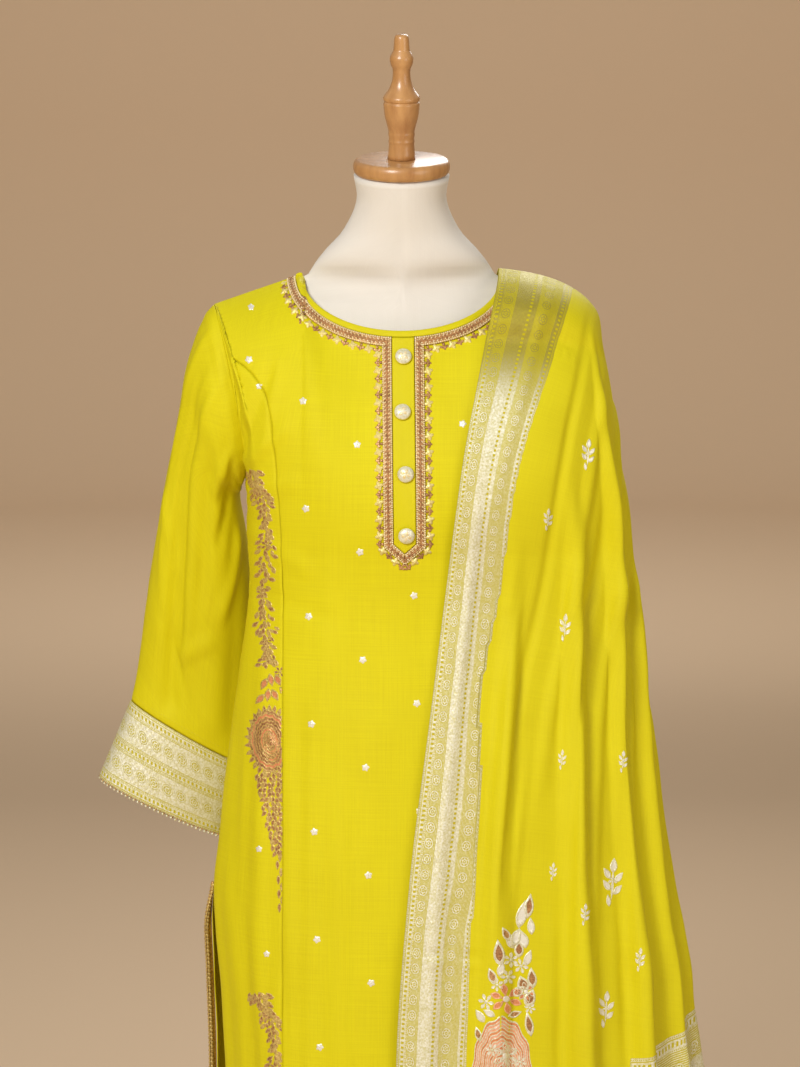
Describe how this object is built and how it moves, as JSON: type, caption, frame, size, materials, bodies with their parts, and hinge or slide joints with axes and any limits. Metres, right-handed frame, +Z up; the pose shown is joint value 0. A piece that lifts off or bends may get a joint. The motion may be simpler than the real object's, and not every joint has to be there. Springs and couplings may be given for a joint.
{
  "type": "salwar kameez suit on a dress form",
  "caption": "Three-piece suit on a limbless dress form: long tunic with slit sides and banded sleeves, loose trousers, and a bordered scarf falling over one shoulder.",
  "frame": {"origin": "on the floor, at the centre of the stand's flat underside", "axes": "+Z up, the front faces -Y, the wearer's left is at +X"},
  "size_m": [0.7038, 0.3624, 1.6559],
  "materials": {
    "kameez_cloth": "fine woven yellow cloth with a soft sheen",
    "binding_cloth": "plain yellow satin",
    "cuff_brocade": "silver-gold brocade with roundels and fine lines on yellow",
    "button_brocade": "brocade-covered dome with a yellow rim",
    "worked_border": "copper thread work with pale beaded edges",
    "salwar_cloth": "plain fine woven yellow cloth",
    "dupatta_cloth": "light yellow silk with woven silver-gold bands",
    "form_cover": "matte cream cloth cover",
    "form_wood": "light varnished wood"
  },
  "bodies": {
    "root": {"kameez_front_centre": "kameez_cloth", "kameez_side_front_left": "kameez_cloth", "kameez_side_front_right": "kameez_cloth", "kameez_back": "kameez_cloth", "sleeve_left": "kameez_cloth", "sleeve_right": "kameez_cloth", "neck_binding": "binding_cloth", "placket": "binding_cloth", "cuff_left": "cuff_brocade", "cuff_right": "cuff_brocade", "ankle_cuff_left": "cuff_brocade", "ankle_cuff_right": "cuff_brocade", "button_1": "button_brocade", "button_2": "button_brocade", "button_3": "button_brocade", "button_4": "button_brocade", "neck_embroidery_left": "worked_border", "neck_embroidery_right": "worked_border", "slit_lace_left": "worked_border", "slit_lace_right": "worked_border", "salwar_waistband": "salwar_cloth", "salwar_leg_left": "salwar_cloth", "salwar_leg_right": "salwar_cloth", "dupatta_front": "dupatta_cloth", "dupatta_shoulder": "dupatta_cloth", "dupatta_back": "dupatta_cloth", "form_torso": "form_cover", "form_neck_cap": "form_wood", "form_finial": "form_wood", "form_pole": "form_wood", "form_base": "form_wood"}
  },
  "joints": []
}
